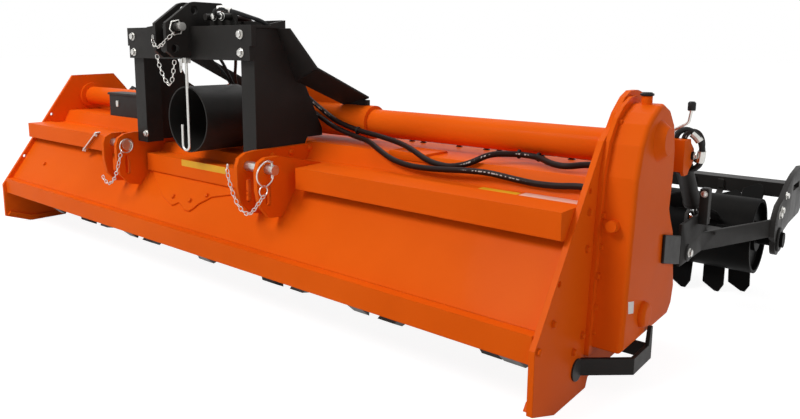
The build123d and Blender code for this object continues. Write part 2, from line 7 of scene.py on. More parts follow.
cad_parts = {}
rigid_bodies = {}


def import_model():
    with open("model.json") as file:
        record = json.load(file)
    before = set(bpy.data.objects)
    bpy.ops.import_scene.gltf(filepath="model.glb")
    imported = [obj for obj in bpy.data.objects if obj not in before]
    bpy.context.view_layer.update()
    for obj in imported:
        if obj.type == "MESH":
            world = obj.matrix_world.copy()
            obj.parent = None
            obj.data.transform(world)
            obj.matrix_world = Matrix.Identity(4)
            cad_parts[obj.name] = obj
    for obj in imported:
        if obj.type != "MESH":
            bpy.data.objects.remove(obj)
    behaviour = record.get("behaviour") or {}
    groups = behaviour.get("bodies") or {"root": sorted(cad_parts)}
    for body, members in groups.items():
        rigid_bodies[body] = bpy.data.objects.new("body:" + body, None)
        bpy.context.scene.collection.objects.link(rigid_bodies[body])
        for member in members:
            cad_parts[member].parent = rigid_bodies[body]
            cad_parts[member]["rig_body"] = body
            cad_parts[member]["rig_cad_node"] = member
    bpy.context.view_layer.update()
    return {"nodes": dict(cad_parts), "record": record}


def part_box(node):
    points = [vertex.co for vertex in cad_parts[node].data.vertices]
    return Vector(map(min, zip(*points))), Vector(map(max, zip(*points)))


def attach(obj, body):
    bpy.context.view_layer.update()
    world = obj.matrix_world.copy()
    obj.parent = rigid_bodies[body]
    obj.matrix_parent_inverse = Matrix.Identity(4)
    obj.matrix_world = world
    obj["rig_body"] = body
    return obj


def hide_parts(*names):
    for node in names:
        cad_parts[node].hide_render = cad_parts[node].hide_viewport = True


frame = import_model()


# Metres from the machine's zero line to the input shaft's front, and from the row's origin to that line
SHAFT_FRONT = -0.062
SHIFT = SHAFT_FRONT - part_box("pto_shaft")[0].y

# Axes across the machine, as (y, z) in the millimetres that at() takes
ROTOR = (45, 236)
ROLLER = (1150, 262)
ARM_PIVOT = (530, 320)
CYLINDER_TOP = (556, 646)
CYLINDER_LOW = (790, 386)
CYLINDER_X = 1724
SIDES = (("left", -1), ("right", 1))


def at(x, y, z):
    """A point given in millimetres across, behind the hitch side's zero line, and up."""
    return Vector((x / 1000, y / 1000 - SHIFT, z / 1000))


# Shader expressions: a socket that takes part in sums, so a pattern reads as a formula

class Field:
    def __init__(self, finish, socket):
        self.finish = finish
        self.socket = socket

    def _sum(self, operation, first, second):
        return self.finish.node("ShaderNodeMath", {"operation": operation}, {0: first, 1: second})

    def __add__(self, other):
        return self._sum("ADD", self, other)

    def __radd__(self, other):
        return self._sum("ADD", other, self)

    def __rsub__(self, other):
        return self._sum("SUBTRACT", other, self)

    def __mul__(self, other):
        return self._sum("MULTIPLY", self, other)

    def __rmul__(self, other):
        return self._sum("MULTIPLY", other, self)

    def __gt__(self, other):
        return self._sum("GREATER_THAN", self, other)


class Finish:
    """A material of the machine, built from nodes that read the object's own coordinates."""

    def __init__(self, name, color, roughness, metallic=0.0, coat=0.0, coat_roughness=0.1):
        self.material = bpy.data.materials.new(name)
        self.material.use_nodes = True
        self.tree = self.material.node_tree
        self.tree.nodes.clear()
        self.shader = self.tree.nodes.new("ShaderNodeBsdfPrincipled")
        self.out = self.tree.nodes.new("ShaderNodeOutputMaterial")
        self.tree.links.new(self.shader.outputs["BSDF"], self.out.inputs["Surface"])
        self.set("Base Color", (*color, 1))
        self.set("Roughness", roughness)
        self.set("Metallic", metallic)
        self.set("Coat Weight", coat)
        self.set("Coat Roughness", coat_roughness)
        self.place = self.node("ShaderNodeTexCoord", {}, {}, "Object")

    def node(self, kind, settings, inputs, output=0):
        made = self.tree.nodes.new(kind)
        for key, value in settings.items():
            setattr(made, key, value)
        for key, value in inputs.items():
            self._feed(made.inputs[key], value)
        return Field(self, made.outputs[output])

    def _feed(self, socket, value):
        if isinstance(value, Field):
            self.tree.links.new(value.socket, socket)
        else:
            socket.default_value = value

    def set(self, name, value):
        self._feed(self.shader.inputs[name], value)

    def noise(self, scale, detail=3.0, rough=0.5, stretch=None):
        place = self.place
        if stretch:
            place = self.node("ShaderNodeMapping", {}, {"Vector": place, "Scale": stretch})
        return self.node("ShaderNodeTexNoise", {},
                         {"Vector": place, "Scale": scale, "Detail": detail, "Roughness": rough}, "Fac")

    def ramp(self, value, stops):
        made = self.tree.nodes.new("ShaderNodeValToRGB")
        band = made.color_ramp
        while len(band.elements) < len(stops):
            band.elements.new(0.5)
        for element, (position, shade) in zip(band.elements, stops):
            element.position = position
            element.color = (shade, shade, shade, 1)
        self._feed(made.inputs["Fac"], value)
        return Field(self, made.outputs["Color"])

    def mix(self, factor, first, second):
        return self.node("ShaderNodeMix", {"data_type": "RGBA"},
                         {0: factor, 6: first, 7: second}, 2)

    def soft_edges(self, radius):
        return self.node("ShaderNodeBevel", {"samples": 4}, {"Radius": radius})

    def bump(self, height, strength, distance, normal=None):
        inputs = {"Height": height, "Strength": strength, "Distance": distance}
        if normal:
            inputs["Normal"] = normal
        self.set("Normal", self.node("ShaderNodeBump", {}, inputs))


# Finishes

ORANGE = (0.85, 0.124, 0.006)
ORANGE_DEEP = (0.70, 0.086, 0.0018)
BLACK = (0.0210, 0.0195, 0.0182)
BLACK_WORN = (0.031, 0.028, 0.026)
BARE_EDGE = (0.085, 0.080, 0.076)
# A darker copy of the black paint for the roller: painted shade, standing in for the shade the machine casts
# on it
SHADED_BLACK = (0.007, 0.007, 0.007)
SHADED_BLACK_WORN = (0.012, 0.011, 0.010)
RUBBER = (0.018, 0.009, 0.0075)
PRINT = (0.55, 0.50, 0.47)


def edge_wear(finish, radius):
    """Bright where the rounded normal leaves the flat one, which is along the edges."""
    round_normal = finish.soft_edges(radius)
    flat_normal = finish.node("ShaderNodeNewGeometry", {}, {}, "Normal")
    agree = finish.node("ShaderNodeVectorMath", {"operation": "DOT_PRODUCT"},
                        {0: round_normal, 1: flat_normal}, "Value")
    return finish.ramp(1 - agree, [(0.004, 0), (0.05, 1)])


def orange_paint():
    finish = Finish("orange_paint", ORANGE, 0.36, coat=0.012, coat_roughness=0.1)
    finish.set("Specular IOR Level", 0.016)
    cloud = finish.noise(2.0, 4)
    tone = finish.mix(finish.ramp(cloud, [(0.35, 0), (0.72, 0.55)]), (*ORANGE, 1), (*ORANGE_DEEP, 1))
    worn = edge_wear(finish, 0.004) * finish.ramp(finish.noise(14.0, 5), [(0.5, 0), (0.66, 1)])
    tone = finish.mix(worn * 0.35, tone, (0.42, 0.07, 0.012, 1))
    finish.set("Base Color", tone)
    finish.set("Roughness", 0.30 + 0.14 * finish.noise(9.0, 5))
    peel = finish.noise(420.0, 2)
    wave = finish.noise(6.0, 2)
    finish.bump(peel * 0.2 + wave, 0.14, 0.004, finish.soft_edges(0.0035))
    return finish.material


def black_paint(name="black_paint", fresh=BLACK, faded=BLACK_WORN, shine=0.09):
    finish = Finish(name, fresh, 0.42, coat=shine / 8, coat_roughness=0.3)
    finish.set("Specular IOR Level", shine)
    cloud = finish.noise(6.0, 5)
    tone = finish.mix(finish.ramp(cloud, [(0.45, 0), (0.8, 1)]), (*fresh, 1), (*faded, 1))
    worn = edge_wear(finish, 0.003) * finish.ramp(finish.noise(18.0, 5), [(0.42, 0), (0.62, 1)])
    finish.set("Base Color", finish.mix(worn * 0.5, tone, (*BARE_EDGE, 1)))
    finish.set("Roughness", 0.34 + 0.2 * finish.noise(22.0, 5))
    finish.bump(finish.noise(260.0, 3), 0.10, 0.002, finish.soft_edges(0.003))
    return finish.material


def dark_steel():
    finish = Finish("dark_steel", (0.03, 0.028, 0.027), 0.42, metallic=0.35)
    scale = finish.noise(35.0, 6)
    rust = finish.ramp(finish.noise(11.0, 6), [(0.52, 0), (0.7, 1)])
    tone = finish.mix(scale, (0.012, 0.011, 0.0105, 1), (0.045, 0.040, 0.036, 1))
    finish.set("Base Color", finish.mix(rust * 0.4, tone, (0.07, 0.032, 0.016, 1)))
    finish.set("Roughness", 0.34 + 0.3 * scale)
    finish.bump(scale, 0.25, 0.002, finish.soft_edges(0.002))
    return finish.material


def zinc():
    finish = Finish("zinc", (0.62, 0.60, 0.56), 0.3, metallic=1.0)
    spangle = finish.noise(160.0, 3)
    finish.set("Base Color", finish.mix(spangle, (0.48, 0.47, 0.44, 1), (0.74, 0.73, 0.70, 1)))
    finish.set("Roughness", 0.22 + 0.22 * spangle)
    finish.bump(spangle, 0.08, 0.001, finish.soft_edges(0.001))
    return finish.material


def chrome():
    finish = Finish("chrome", (0.75, 0.75, 0.76), 0.08, metallic=1.0)
    finish.set("Roughness", 0.05 + 0.08 * finish.noise(60.0, 2, stretch=(1, 1, 12)))
    return finish.material


def machined_steel():
    finish = Finish("machined_steel", (0.42, 0.41, 0.40), 0.3, metallic=1.0)
    finish.set("Roughness", 0.25 + 0.2 * finish.noise(90.0, 3, stretch=(1, 14, 1)))
    return finish.material


def hose_rubber():
    """Dark rubber with a broken line of pale print along its front."""
    finish = Finish("hose_rubber", RUBBER, 0.4, coat=0.02, coat_roughness=0.3)
    finish.set("Specular IOR Level", 0.08)
    place = finish.node("ShaderNodeSeparateXYZ", {}, {"Vector": finish.place}, "X")
    normal = finish.node("ShaderNodeNewGeometry", {}, {}, "Normal")
    front = finish.node("ShaderNodeVectorMath", {"operation": "DOT_PRODUCT"},
                        {0: normal, 1: (0.3, -0.9, 0.3)}, "Value")
    stripe = finish.ramp(front, [(0.955, 0), (0.965, 1)])
    dash = finish.noise(210.0, 1, stretch=(1, 0.02, 0.02)) > 0.5
    print_run = finish.node("ShaderNodeMath", {"operation": "FRACT"}, {0: place * 2.1}) > 0.42
    mark = stripe * dash * print_run
    finish.set("Base Color", finish.mix(mark, (*RUBBER, 1), (*PRINT, 1)))
    finish.bump(finish.noise(900.0, 2), 0.1, 0.0004)
    return finish.material


def label_film(name, color):
    finish = Finish(name, color, 0.4, coat=0.04, coat_roughness=0.15)
    finish.set("Specular IOR Level", 0.15)
    dirt = finish.ramp(finish.noise(30.0, 4), [(0.45, 0), (0.8, 1)])
    red, green, blue = color
    dirty = (red * 0.75, green * 0.7, blue * 0.66, 1)
    finish.set("Base Color", finish.mix(dirt * 0.25, (*color, 1), dirty))
    finish.bump(finish.noise(50.0, 2), 0.05, 0.001)
    return finish.material


def black_rubber():
    finish = Finish("black_rubber", (0.012, 0.012, 0.012), 0.55)
    finish.set("Specular IOR Level", 0.2)
    finish.set("Roughness", 0.45 + 0.2 * finish.noise(40.0, 3))
    finish.bump(finish.noise(300.0, 2), 0.1, 0.001)
    return finish.material


paints = {"orange_paint": orange_paint(), "black_paint": black_paint(), "dark_steel": dark_steel(),
          "zinc": zinc(), "chrome": chrome(), "machined_steel": machined_steel(),
          "hose_rubber": hose_rubber(), "black_rubber": black_rubber(),
          # darker black for the roller: painted shade from the machine above it
          "shaded_black": black_paint("shaded_black", SHADED_BLACK, SHADED_BLACK_WORN, 0.015),
          "white_label": label_film("white_label", (0.86, 0.83, 0.80)),
          "pale_label": label_film("pale_label", (0.90, 0.52, 0.42)),
          "yellow_label": label_film("yellow_label", (0.80, 0.42, 0.02))}


def paint(piece, slot):
    piece.data.materials.clear()
    piece.data.materials.append(paints[slot])


for part in frame["record"]["subparts"]:
    paint(frame["nodes"][part["node"]], part["material_slot"])


# Modelling by hand: a primitive, shaped in edit mode, copied where it repeats

def clear():
    bpy.ops.object.select_all(action="DESELECT")


def edit():
    bpy.ops.object.mode_set(mode="EDIT")


def leave():
    bpy.ops.object.mode_set(mode="OBJECT")


def pick(piece, test):
    """From edit mode, selects the faces whose middle and normal pass the test."""
    bpy.ops.mesh.select_mode(type="FACE")
    bpy.ops.mesh.select_all(action="DESELECT")
    leave()
    for face in piece.data.polygons:
        face.select = test(face.center, face.normal)
    edit()


def extrude(x, y, z):
    bpy.ops.mesh.extrude_region_move(TRANSFORM_OT_translate={"value": (x, y, z)})


def bevelled(piece, width, steps=1):
    clear()
    piece.select_set(True)
    bpy.context.view_layer.objects.active = piece
    edges = piece.modifiers.new("edges", "BEVEL")
    edges.width = width
    edges.segments = steps
    edges.limit_method = "ANGLE"
    bpy.ops.object.modifier_apply(modifier=edges.name)


def finished(piece, name, slot, body):
    clear()
    piece.select_set(True)
    bpy.context.view_layer.objects.active = piece
    bpy.ops.object.transform_apply()
    bpy.ops.object.shade_smooth_by_angle(angle=math.radians(35))
    piece.name = name
    piece.data.name = name
    paint(piece, slot)
    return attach(piece, body)


def towards(place, direction, spin=0.0):
    """Sets a shape that points up so that it points along a direction."""
    aim = Vector(direction).to_track_quat("Z", "Y").to_matrix().to_4x4()
    return Matrix.Translation(place) @ aim @ Matrix.Rotation(spin, 4, "Z")


def facing(origin, across, up):
    across, up = Vector(across).normalized(), Vector(up).normalized()
    turned = Matrix((across, up, across.cross(up))).transposed()
    return Matrix.Translation(origin) @ turned.to_4x4()


def joined(pieces):
    if len(pieces) == 1:
        return pieces[0]
    clear()
    for piece in pieces:
        piece.select_set(True)
    bpy.context.view_layer.objects.active = pieces[0]
    bpy.ops.object.join()
    return bpy.context.object


def copies(shape, places):
    """One object made of copies of a shape, each with its own mesh."""
    made = []
    for place in places:
        twin = shape.copy()
        twin.data = shape.data.copy()
        bpy.context.collection.objects.link(twin)
        twin.data.transform(place)
        made.append(twin)
    bpy.data.objects.remove(shape)
    return joined(made)


def hex_bolt(radius):
    clear()
    bpy.ops.mesh.primitive_cylinder_add(vertices=6, radius=radius, depth=radius * 0.7,
                                        location=(0, 0, radius * 0.5))
    head = bpy.context.object
    edit()
    pick(head, lambda middle, normal: normal.z > 0.9)
    bpy.ops.mesh.inset(thickness=radius * 0.16)
    bpy.ops.transform.translate(value=(0, 0, radius * 0.1))
    bpy.ops.mesh.select_all(action="DESELECT")
    bpy.ops.mesh.primitive_cylinder_add(vertices=16, radius=radius * 1.3, depth=radius * 0.2,
                                        location=(0, 0, radius * 0.09))
    leave()
    bpy.ops.object.transform_apply()
    return head


def bolts(name, radius, spots, direction, slot, body):
    places = [towards(at(*spot), direction, 0.7 * i) for i, spot in enumerate(spots)]
    return finished(copies(hex_bolt(radius), places), name, slot, body)


def rivets(name, radius, spots, direction, slot, body):
    clear()
    bpy.ops.mesh.primitive_uv_sphere_add(segments=14, ring_count=8, radius=radius, location=(0, 0, 0))
    dome = bpy.context.object
    edit()
    bpy.ops.mesh.bisect(plane_co=(0, 0, 0), plane_no=(0, 0, 1), clear_inner=True, use_fill=True)
    bpy.ops.mesh.select_all(action="SELECT")
    bpy.ops.transform.resize(value=(1, 1, 0.62), center_override=(0, 0, 0))
    leave()
    return finished(copies(dome, [towards(at(*spot), direction) for spot in spots]), name, slot, body)


def curve_line(points, radius, loop=False):
    clear()
    bpy.ops.curve.primitive_nurbs_path_add(location=(0, 0, 0))
    line = bpy.context.object
    line.data.splines.clear()
    spline = line.data.splines.new("NURBS")
    spline.points.add(len(points) - 1)
    for knot, point in zip(spline.points, points):
        knot.co = (*at(*point), 1)
    spline.order_u = 3
    spline.use_endpoint_u = not loop
    spline.use_cyclic_u = loop
    spline.resolution_u = 6
    line.data.bevel_depth = radius
    line.data.bevel_resolution = 3
    line.data.use_fill_caps = True
    return line


def wire(name, points, radius, slot, body, loop=False):
    curve_line(points, radius, loop)
    bpy.ops.object.convert(target="MESH")
    return finished(bpy.context.object, name, slot, body)


def chain(name, points, body):
    """Links of bent wire along a hanging line, each turned a quarter from the last."""
    pitch, link_radius, wire_radius = 0.0170, 0.0068, 0.0017
    line = curve_line(points, 0)
    dots = [dot.co.copy() for dot in bpy.data.meshes.new_from_object(line).vertices]
    bpy.data.objects.remove(line)
    places = []
    ahead = 0.0
    for a, b in zip(dots, dots[1:]):
        step = (b - a).length
        while ahead <= step:
            aim = (b - a).to_track_quat("Y", "Z").to_matrix().to_4x4()
            quarter = Matrix.Rotation(len(places) * math.pi / 2 + 0.5, 4, "Y")
            places.append(Matrix.Translation(a.lerp(b, ahead / step)) @ aim @ quarter)
            ahead += pitch
        ahead -= step
    clear()
    bpy.ops.mesh.primitive_torus_add(major_radius=link_radius, minor_radius=wire_radius, major_segments=12,
                                     minor_segments=6, location=(0, 0, 0))
    link = bpy.context.object
    edit()
    for side in (-1, 1):
        pick(link, lambda middle, normal: middle.y * side > 0)
        bpy.ops.transform.translate(value=(0, 0.0025 * side, 0))
    leave()
    return finished(copies(link, places), name, "zinc", body)


def plate(name, corners, thickness, place, slot, body, soft=0.0008):
    """A flat plate drawn corner by corner in millimetres, thickened and given soft edges."""
    clear()
    bpy.ops.mesh.primitive_circle_add(vertices=len(corners), radius=0.01, fill_type="NGON",
                                      location=(0, 0, 0))
    flat = bpy.context.object
    edit()
    bpy.ops.mesh.select_mode(type="VERT")
    for i, (x, y) in enumerate(corners):
        bpy.ops.mesh.select_all(action="DESELECT")
        leave()
        flat.data.vertices[i].select = True
        start = flat.data.vertices[i].co.copy()
        edit()
        bpy.ops.transform.translate(value=(x / 1000 - start.x, y / 1000 - start.y, 0))
    bpy.ops.mesh.select_all(action="SELECT")
    extrude(0, 0, thickness)
    bpy.ops.mesh.select_all(action="SELECT")
    bpy.ops.mesh.normals_make_consistent(inside=False)
    leave()
    bevelled(flat, soft)
    flat.data.transform(place)
    return finished(flat, name, slot, body)


def rounded(x0, x1, y0, y1, cut):
    """A rectangle with its corners cut off."""
    return [(x0 + cut, y0), (x1 - cut, y0), (x1, y0 + cut), (x1, y1 - cut),
            (x1 - cut, y1), (x0 + cut, y1), (x0, y1 - cut), (x0, y0 + cut)]


def ring(name, place, direction, radius, wire_radius, slot, body, sides=24, flatten=1.0):
    clear()
    bpy.ops.mesh.primitive_torus_add(major_radius=radius, minor_radius=wire_radius, major_segments=sides,
                                     minor_segments=10, location=(0, 0, 0))
    hoop = bpy.context.object
    edit()
    bpy.ops.mesh.select_all(action="SELECT")
    bpy.ops.transform.resize(value=(1, 1, flatten), center_override=(0, 0, 0))
    leave()
    hoop.data.transform(towards(at(*place), direction, 0.2))
    return finished(hoop, name, slot, body)


def bar(name, start, end, width, depth, slot, body):
    """A flat bar between two points, with rounded edges."""
    clear()
    start, end = at(*start), at(*end)
    bpy.ops.mesh.primitive_cube_add(size=1, location=(0, 0, 0))
    piece = bpy.context.object
    edit()
    bpy.ops.mesh.select_all(action="SELECT")
    bpy.ops.transform.resize(value=(width, depth, (end - start).length), center_override=(0, 0, 0))
    for side in (-1, 1):
        pick(piece, lambda middle, normal: normal.z * side > 0.9)
        bpy.ops.mesh.inset(thickness=min(width, depth) * 0.25)
        bpy.ops.transform.translate(value=(0, 0, 0.001 * side))
    leave()
    bevelled(piece, min(width, depth) * 0.12, 2)
    piece.data.transform(towards((start + end) / 2, end - start))
    return finished(piece, name, slot, body)


# Bolts and rivets

bolts("crossbar_bolts", 0.0135, [(-382, -215, 1040), (-377, -215, 973), (363, -215, 1043), (365, -215, 976)],
      (0, -1, 0), "zinc", "frame")
bolts("case_bolts", 0.0095, [(1676, y, z) for y, z in ((120, 786), (81, 700), (57, 613), (34, 524), (30, 433),
                                                       (15, 348), (15, 254), (13, 178), (440, 300),
                                                       (396, 640), (352, 780))],
      (1, 0, 0), "orange_paint", "frame")
bolts("plate_bolts", 0.0095, [(1662, y, z) for y, z in ((-30, 544), (-32, 437), (-36, 180), (-226, 274),
                                                        (-305, 223), (-90, 147))],
      (1, 0, 0), "orange_paint", "frame")
rivets("ear_rivets", 0.014, [(436, -137, 587), (436, -40, 592), (436, 57, 597), (436, 138, 598)],
       (1, 0, 0), "orange_paint", "frame")
bolts("post_bolts", 0.012, [(-346, -195, 614)], (0, -1, 0), "zinc", "frame")

# The apron's directions, up along it and out from it
SLOPE = (0, 0.5812, 0.8137)
OUTWARD = (0, -0.8137, 0.5812)
bolts("doubler_bolts", 0.009, [(-128, -211, 360), (-6, -211, 360), (83, -189, 391), (-1382, -202, 360)],
      OUTWARD, "orange_paint", "frame")
bolts("gearbox_bolts", 0.009, [(56 * math.cos(k), 225 + 56 * math.sin(k), 818) for k in range(6)],
      (0, 0, 1), "orange_paint", "frame")
bolts("gearbox_back_bolts", 0.010, [(x, 326, z) for x in (-118, 0, 118) for z in (660, 772)],
      (0, 1, 0), "orange_paint", "frame")
bolts("strip_bolts", 0.010, [(x, 352, 622) for x in (731, 788, 962, 1085, 1140, 1312, 1426)],
      (0, 0, 1), "black_paint", "frame")


def bearing_circle():
    """Four bolt places, as (y, z), round the rotor's bearing."""
    radius, first_turn = 66, 0.8
    turns = [first_turn + k * math.pi / 2 for k in range(4)]
    return [(ROTOR[0] + radius * math.cos(turn), ROTOR[1] + radius * math.sin(turn)) for turn in turns]


for side, sign in SIDES:
    bolts("end_bolts_" + side, 0.012, [(sign * 1940, y, z) for y, z in ((1160, 378), (1129, 364), (1230, 425),
                                                                        (1560, 400), (1620, 380))],
          (sign, 0, 0), "zinc", "roller_frame")
    bolts("pin_bolts_" + side, 0.012, [(sign * 1782, *ARM_PIVOT), (sign * 1761, *CYLINDER_LOW)],
          (sign, 0, 0), "zinc", "roller_frame")
    bolts("bearing_bolts_" + side, 0.010, [(sign * 1610, y, z) for y, z in bearing_circle()],
          (-sign, 0, 0), "zinc", "frame")
    ring("end_seal_" + side, (sign * 1943, *ROLLER), (sign, 0, 0), 0.040, 0.009, "black_paint",
         "roller_frame", 32, 0.7)


def blade_bolts():
    """Two bolts in each blade's foot, on the side of the disc that carries the blade."""
    rows, arms, pitch = 13, 4, 258
    first_turn, stagger = 152.6, 14
    places = []
    for row in range(rows):
        centre = at((row - (rows - 1) / 2) * pitch, *ROTOR)
        for arm in range(arms):
            turn = math.radians(first_turn + (row % 3 - 1) * stagger + arm * 360 / arms)
            sign = {0: 1, rows - 1: -1}.get(row, 1 if (arm + row) % 2 else -1)
            for offset in (-0.013, 0.013):
                spot = Matrix.Rotation(turn, 4, "X") @ Vector((sign * 0.020, offset, 0.101))
                places.append(towards(centre + spot, (sign, 0, 0), row))
    finished(copies(hex_bolt(0.0085), places), "blade_bolts", "dark_steel", "rotor")


blade_bolts()


# Roller: a drum with recessed ends, and rows of pointed teeth that each turn on from the last

def roller_drum():
    radius, length = 0.150, 3.740
    rows_between, row_pitch, last_row = 30, 0.118345, 1.804
    teeth_per_row, twist = 3, 12
    middle = at(0, *ROLLER)
    clear()
    bpy.ops.mesh.primitive_cylinder_add(vertices=80, radius=radius, depth=length, location=middle,
                                        rotation=(0, math.pi / 2, 0))
    drum = bpy.context.object
    bpy.ops.object.transform_apply(location=False)
    edit()
    for side in (-1, 1):
        pick(drum, lambda centre, normal: normal.x * side > 0.9)
        bpy.ops.mesh.inset(thickness=0.012)
        extrude(-0.020 * side, 0, 0)
        bpy.ops.mesh.inset(thickness=0.078)
        extrude(0.018 * side, 0, 0)
        bpy.ops.mesh.inset(thickness=0.030)
        extrude(0.091 * side, 0, 0)
    leave()
    clear()
    bpy.ops.mesh.primitive_cube_add(size=1, location=(0, 0, 0))
    tooth = bpy.context.object
    edit()
    bpy.ops.mesh.select_all(action="SELECT")
    bpy.ops.transform.resize(value=(0.082, 0.010, 0.086), center_override=(0, 0, 0))
    bpy.ops.transform.translate(value=(0, 0, 0.187))
    pick(tooth, lambda centre, normal: normal.z > 0.9)
    extrude(0, 0, 0.032)
    bpy.ops.transform.resize(value=(0.195, 0.8, 1), center_override=(0, 0, 0.262))
    bpy.ops.transform.translate(value=(0.016, 0, 0))
    leave()
    bevelled(tooth, 0.0015)
    rows = [(i - (rows_between - 1) / 2) * row_pitch for i in range(rows_between)]
    rows = [-last_row, *rows, last_row]
    places = []
    for i, x in enumerate(rows):
        for arm in range(teeth_per_row):
            turn = math.radians(180 + (i - rows_between) * twist + arm * 360 / teeth_per_row)
            places.append(Matrix.Translation(middle + Vector((x, 0, 0))) @ Matrix.Rotation(turn, 4, "X"))
    teeth = copies(tooth, places)
    clear()
    drum.select_set(True)
    bpy.context.view_layer.objects.active = drum
    bpy.ops.object.transform_apply()
    piece = finished(joined([drum, teeth]), "roller_drum", "black_paint", "roller")
    # The drum takes the darker black: painted shade from the machine above it
    paint(piece, "shaded_black")
    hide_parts("roller")


roller_drum()


def lift_arm(side):
    """The arm with its cheek plate cut level with the cylinder's lower lug."""
    node = frame["nodes"]["roller_arm_" + side]
    arm = node.copy()
    arm.data = node.data.copy()
    arm.parent = None
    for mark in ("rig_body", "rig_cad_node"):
        del arm[mark]
    bpy.context.collection.objects.link(arm)
    clear()
    arm.select_set(True)
    bpy.context.view_layer.objects.active = arm
    edit()
    bpy.ops.mesh.select_all(action="SELECT")
    bpy.ops.mesh.remove_doubles(threshold=0.00001)
    cheek_inner, cheek_outer, cheek_top = 1.7655, 1.7765, 0.43
    pick(arm, lambda middle, normal: cheek_inner < abs(middle.x) < cheek_outer)
    bpy.ops.mesh.bisect(plane_co=(0, 0, cheek_top), plane_no=(0, 0, 1), clear_outer=True, use_fill=True)
    leave()
    bevelled(arm, 0.0012)
    finished(arm, "lift_arm_" + side, "black_paint", "roller_frame")
    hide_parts("roller_arm_" + side)


def barrel_sleeve(side, x):
    """The barrel's wide middle with a gland at each end, on the line between its two pins."""
    top, low = at(x, *CYLINDER_TOP), at(x, *CYLINDER_LOW)
    along = (low - top).normalized()
    clear()
    bpy.ops.mesh.primitive_cylinder_add(vertices=40, radius=0.029, depth=0.176, location=(0, 0, 0))
    sleeve = bpy.context.object
    edit()
    for end in (-1, 1):
        pick(sleeve, lambda middle, normal: normal.z * end > 0.9)
        extrude(0, 0, 0.002 * end)
        bpy.ops.transform.resize(value=(1.08, 1.08, 1), center_override=(0, 0, 0.09 * end))
        extrude(0, 0, 0.012 * end)
        bpy.ops.mesh.inset(thickness=0.004)
        extrude(0, 0, 0.002 * end)
    leave()
    bevelled(sleeve, 0.001)
    sleeve.data.transform(towards(top + along * 0.164, along))
    finished(sleeve, "barrel_sleeve_" + side, "black_paint", "barrel_" + side)


for side, sign in SIDES:
    lift_arm(side)
    barrel_sleeve(side, sign * CYLINDER_X)
    bolts("pin_head_" + side, 0.010, [(sign * (CYLINDER_X + 44), *CYLINDER_TOP)], (sign, 0, 0), "zinc",
          "barrel_" + side)


# The doubling plate's foot has soft lobes round its bolts
doubler = plate("doubler_plate",
                [(-404, 232), (-404, 214), (-373, 207), (-214, 109), (-165, 92), (-117, 77), (-98, 84),
                 (-81, 97), (-50, 88), (-16, 71), (18, 72), (36, 88), (52, 111), (80, 130), (109, 152),
                 (250, 188), (404, 205), (404, 232)],
                0.008, facing(at(0, -272, 261), (1, 0, 0), SLOPE), "orange_paint", "frame", 0.002)
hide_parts("apron_doubler")


def filler():
    clear()
    bpy.ops.mesh.primitive_cylinder_add(vertices=28, radius=0.016, depth=0.026, location=at(1714, 225, 847))
    stub = bpy.context.object
    edit()
    pick(stub, lambda middle, normal: normal.z > 0.9)
    bpy.ops.mesh.inset(thickness=0.004)
    extrude(0, 0, 0.001)
    leave()
    finished(stub, "filler_stub", "orange_paint", "frame")
    clear()
    bpy.ops.mesh.primitive_cylinder_add(vertices=32, radius=0.020, depth=0.007, location=at(1714, 225, 864.5))
    lid = bpy.context.object
    edit()
    pick(lid, lambda middle, normal: normal.z > 0.9)
    bpy.ops.mesh.inset(thickness=0.005)
    extrude(0, 0, 0.003)
    leave()
    bevelled(lid, 0.001)
    finished(lid, "filler_lid", "black_paint", "frame")
    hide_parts("filler_cap")


filler()


# Blank labels
plate("ledge_label", rounded(-128, 182, -14, 14, 3), 0.0005,
      facing(at(0, -165, 503), (1, 0, 0), (0, 0, 1)), "yellow_label", "frame", 0.0001)
plate("hood_label", rounded(1425, 1620, -40, 38, 4), 0.0005,
      facing(at(0, 0, 555), (1, 0, 0), (0, 1, 0)), "pale_label", "frame", 0.0001)
plate("hood_strip", rounded(1278, 1418, -8, 24, 3), 0.0005,
      facing(at(0, 0, 555), (1, 0, 0), (0, 1, 0)), "yellow_label", "frame", 0.0001)
plate("case_label", [(33, 286), (78, 275), (79, 238), (39, 248)], 0.0005,
      facing(at(1765, 0, 0), (0, 1, 0), (0, 0, 1)), "white_label", "frame", 0.0001)


# Small fittings on the body
def deck_box():
    clear()
    bpy.ops.mesh.primitive_cube_add(size=1, location=at(936, 125, 615))
    case = bpy.context.object
    edit()
    bpy.ops.mesh.select_all(action="SELECT")
    bpy.ops.transform.resize(value=(0.170, 0.130, 0.030), center_override=at(936, 125, 615))
    pick(case, lambda middle, normal: normal.z > 0.9)
    bpy.ops.mesh.inset(thickness=0.008)
    extrude(0, 0, -0.002)
    leave()
    bevelled(case, 0.003, 2)
    finished(case, "deck_box", "orange_paint", "frame")


deck_box()
plate("toolbox_latch", rounded(-12, 12, -17, 17, 4), 0.004,
      facing(at(-1090, 80, 690), (1, 0, 0), (0, 0, 1)), "zinc", "frame", 0.001)
plate("toolbox_rim", rounded(-183, 183, -5, 5, 2), 0.003,
      facing(at(-997, 76, 741), (1, 0, 0), (0, 0, 1)), "black_paint", "frame", 0.001)
bar("ledge_strap", (-986, -169, 470), (-837, -169, 575), 0.026, 0.006, "zinc", "frame")
bolts("strap_bolts", 0.009, [(-975, -172, 478), (-850, -172, 566)], (0, -1, 0), "zinc", "frame")
bar("inner_stay", (-396, -50, 1030), (-140, 215, 815), 0.010, 0.050, "black_paint", "frame")

